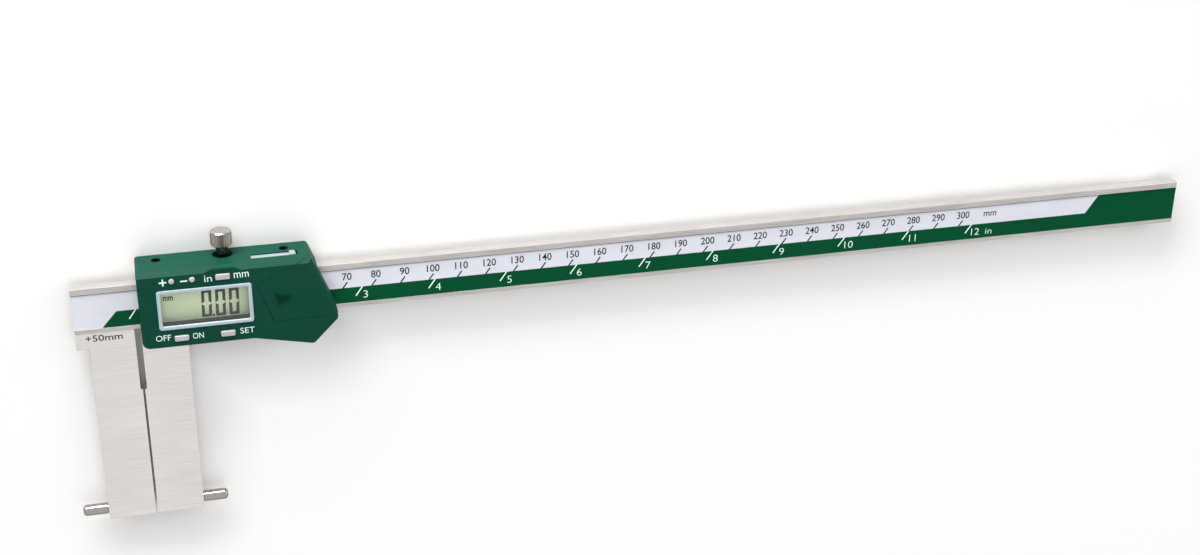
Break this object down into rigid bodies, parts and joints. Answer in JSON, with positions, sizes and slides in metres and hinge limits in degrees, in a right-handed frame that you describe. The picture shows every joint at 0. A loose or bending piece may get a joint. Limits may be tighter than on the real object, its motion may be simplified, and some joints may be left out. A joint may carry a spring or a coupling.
{
  "type": "digital inside point caliper",
  "caption": "Digital caliper for inside sizes, with flat jaws that carry side points at their tips, a sliding display unit and a printed beam.",
  "frame": {"origin": "middle of the bounding box's bottom, with the caliper lying on the slider's steel back", "axes": "+X along the beam away from the jaws, +Y from the jaws towards the lock screw, +Z out of the display"},
  "size_m": [0.4146, 0.105, 0.0154],
  "materials": {
    "stainless_steel": "fine ground",
    "hardened_pin_steel": "polished",
    "plated_screw": "knurled, satin chrome",
    "dark_screw": "blackened",
    "brass": "machined",
    "grating_laminate": "smooth",
    "scale_foil": "printed, satin",
    "green_abs": "moulded, fine texture",
    "bezel_grey": "satin",
    "clear_window": "clear",
    "display_glass": "pale yellow-green",
    "black_holder": "moulded",
    "elastomer": "striped",
    "board_laminate": "solder resist",
    "black_resin": "cast",
    "gold_contact": "gold plated",
    "cell_steel": "drawn can",
    "key_grey": "satin",
    "shutter_grey": "satin"
  },
  "bodies": {
    "beam": {"main_beam": "stainless_steel", "scale_grating": "grating_laminate", "scale_label": "scale_foil", "fixed_point": "hardened_pin_steel", "end_stop": "stainless_steel", "end_stop_screws": "dark_screw"},
    "slider": {"slider_frame": "stainless_steel", "moving_point": "hardened_pin_steel", "gib_strip": "brass", "gib_screws": "dark_screw", "display_housing": "green_abs", "housing_screws": "dark_screw", "display_bezel": "bezel_grey", "display_window": "clear_window", "lcd_panel": "display_glass", "lcd_holder": "black_holder", "zebra_strips": "elastomer", "circuit_board": "board_laminate", "board_screws": "dark_screw", "processor_chip": "black_resin", "quartz_crystal": "cell_steel", "dome_switches": "cell_steel", "battery_cell": "cell_steel", "battery_minus_contact": "gold_contact", "battery_plus_contact": "gold_contact", "data_port_block": "black_holder", "data_port_contacts": "gold_contact"},
    "battery_cover": {"battery_cover": "green_abs"},
    "data_port_cover": {"data_port_cover": "shutter_grey"},
    "power_button": {"power_button": "key_grey"},
    "set_button": {"set_button": "key_grey"},
    "unit_button": {"unit_button": "key_grey"},
    "plus_button": {"plus_button": "key_grey"},
    "minus_button": {"minus_button": "key_grey"},
    "lock_screw": {"lock_screw": "plated_screw"},
    "lock_shoe": {"lock_shoe": "brass"}
  },
  "joints": [
    {"name": "slider_travel", "type": "slide", "parent": "beam", "child": "slider", "axis": [1, 0, 0], "range_m": [0, 0.3]},
    {"name": "lock_advance", "type": "slide", "parent": "slider", "child": "lock_shoe", "axis": [0, -1, 0], "range_m": [-0.0005, 0.000175]},
    {"name": "lock_turn", "type": "hinge", "parent": "lock_shoe", "child": "lock_screw", "pos_m": [-0.1522, 0.04383, 0.0045], "axis": [0, -1, 0], "range_deg": [-360, 126]},
    {"name": "battery_cover_slide", "type": "slide", "parent": "slider", "child": "battery_cover", "axis": [1, 0, 0], "range_m": [0, 0.028]},
    {"name": "data_port_cover_slide", "type": "slide", "parent": "slider", "child": "data_port_cover", "axis": [-1, 0, 0], "range_m": [0, 0.009]},
    {"name": "power_press", "type": "slide", "parent": "slider", "child": "power_button", "axis": [0, 0, -1], "range_m": [0, 0.0004], "stiffness_N_per_m": 400},
    {"name": "set_press", "type": "slide", "parent": "slider", "child": "set_button", "axis": [0, 0, -1], "range_m": [0, 0.0004], "stiffness_N_per_m": 400},
    {"name": "unit_press", "type": "slide", "parent": "slider", "child": "unit_button", "axis": [0, 0, -1], "range_m": [0, 0.0004], "stiffness_N_per_m": 400},
    {"name": "plus_press", "type": "slide", "parent": "slider", "child": "plus_button", "axis": [0, 0, -1], "range_m": [0, 0.0004], "stiffness_N_per_m": 400},
    {"name": "minus_press", "type": "slide", "parent": "slider", "child": "minus_button", "axis": [0, 0, -1], "range_m": [0, 0.0004], "stiffness_N_per_m": 400}
  ],
  "couplings": [
    {"joint": "lock_turn", "follows": "lock_advance", "rad_per_m": 12566}
  ]
}
